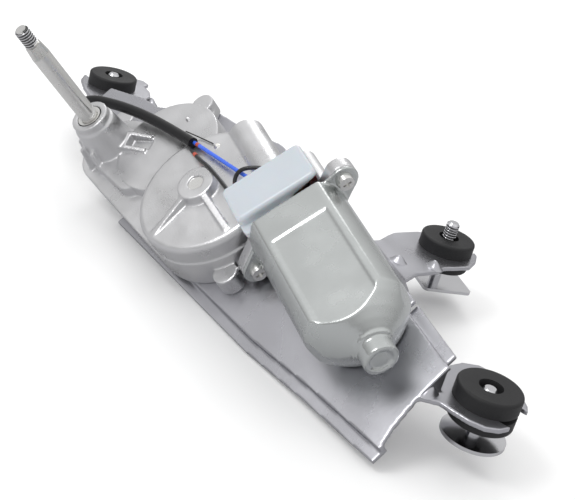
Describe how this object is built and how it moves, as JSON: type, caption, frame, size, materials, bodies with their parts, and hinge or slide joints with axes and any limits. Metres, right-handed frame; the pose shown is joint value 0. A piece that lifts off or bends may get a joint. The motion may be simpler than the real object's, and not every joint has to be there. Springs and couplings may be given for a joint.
{
  "type": "rear wiper motor",
  "caption": "Geared rear wiper motor on a stamped bracket with three rubber-mounted ears, an upright output shaft and a short wired lead.",
  "frame": {"origin": "on the output shaft's axis, at the mouth of the casting's tower", "axes": "+Z along the three ear bolts, away from their discs; +X along the bracket, from the ear beside the tower to the ear beyond the motor's closed end; the output shaft leans 46 degrees from +Z towards -Y"},
  "size_m": [0.339, 0.2006, 0.0871],
  "materials": {
    "sheet_steel": "satin",
    "cast_aluminium": "satin",
    "zinc_steel": "satin",
    "bright_steel": "polished",
    "rubber": "matte",
    "milky_plastic": "satin",
    "black_plastic": "matte",
    "wheel_plastic": "matte",
    "black_vinyl": "satin",
    "blue_vinyl": "satin",
    "copper": "satin",
    "bronze": "satin",
    "rotor_steel": "matte",
    "ferrite": "matte"
  },
  "bodies": {
    "housing": {"bracket": "sheet_steel", "brush_card": "black_plastic", "brush_far": "ferrite", "brush_near": "ferrite", "brush_springs": "bright_steel", "bush_lower": "bronze", "bush_upper": "bronze", "cable_sleeve": "black_vinyl", "case_screws": "bright_steel", "connector": "black_plastic", "front_bush": "bronze", "gear_case": "cast_aluminium", "gear_cover": "sheet_steel", "grommet_a": "rubber", "grommet_b": "rubber", "grommet_c": "rubber", "lever_washer": "bright_steel", "magnet_far": "ferrite", "magnet_near": "ferrite", "middle_bush": "bronze", "rear_bush": "bronze", "shaft_seal": "rubber", "terminal_cover": "milky_plastic", "terminals": "copper", "thrust_disc": "bright_steel", "wheel_axle": "bright_steel", "wheel_clip": "bright_steel", "wire_black": "black_vinyl", "wire_blue": "blue_vinyl", "wire_lead": "black_vinyl", "yoke": "zinc_steel", "yoke_screws": "bright_steel"},
    "output": {"output_shaft": "bright_steel", "output_lever": "bright_steel", "lever_pin": "bright_steel", "shaft_clip": "bright_steel"},
    "rod": {"connecting_rod": "sheet_steel", "crank_pin": "bright_steel"},
    "wheel": {"worm_wheel": "wheel_plastic"},
    "armature": {"motor_shaft": "bright_steel", "rotor_core": "rotor_steel", "rotor_windings": "copper", "commutator": "copper"},
    "stud_a": {"bolt_a": "bright_steel"},
    "stud_b": {"bolt_b": "bright_steel"},
    "stud_c": {"bolt_c": "bright_steel"}
  },
  "joints": [
    {"name": "armature_spin", "type": "hinge", "parent": "housing", "child": "armature", "pos_m": [0.07189, 0.04418, 0.01336], "axis": [0.9703, -0.1681, -0.174], "continuous": true},
    {"name": "wheel_spin", "type": "hinge", "parent": "housing", "child": "wheel", "pos_m": [0.07081, 0.02433, -0.00792], "axis": [0, -0.7193, 0.6947], "continuous": true},
    {"name": "output_spin", "type": "hinge", "parent": "housing", "child": "output", "pos_m": [0, 0, 0], "axis": [0, -0.7193, 0.6947], "range_deg": [-44, 44]},
    {"name": "rod_pivot", "type": "hinge", "parent": "output", "child": "rod", "pos_m": [-0.00148, 0.02882, -0.01478], "axis": [0, -0.7193, 0.6947], "range_deg": [-44, 44]},
    {"name": "stud_a_slide", "type": "slide", "parent": "housing", "child": "stud_a", "axis": [0, 0, 1], "range_m": [0, 0.0055]},
    {"name": "stud_b_slide", "type": "slide", "parent": "housing", "child": "stud_b", "axis": [0, 0, 1], "range_m": [0, 0.0085]},
    {"name": "stud_c_slide", "type": "slide", "parent": "housing", "child": "stud_c", "axis": [0, 0, 1], "range_m": [0, 0.006]}
  ],
  "couplings": [
    {"joint": "wheel_spin", "follows": "armature_spin", "ratio": 0.021277},
    {"joint": "rod_pivot", "follows": "output_spin", "ratio": -1}
  ]
}
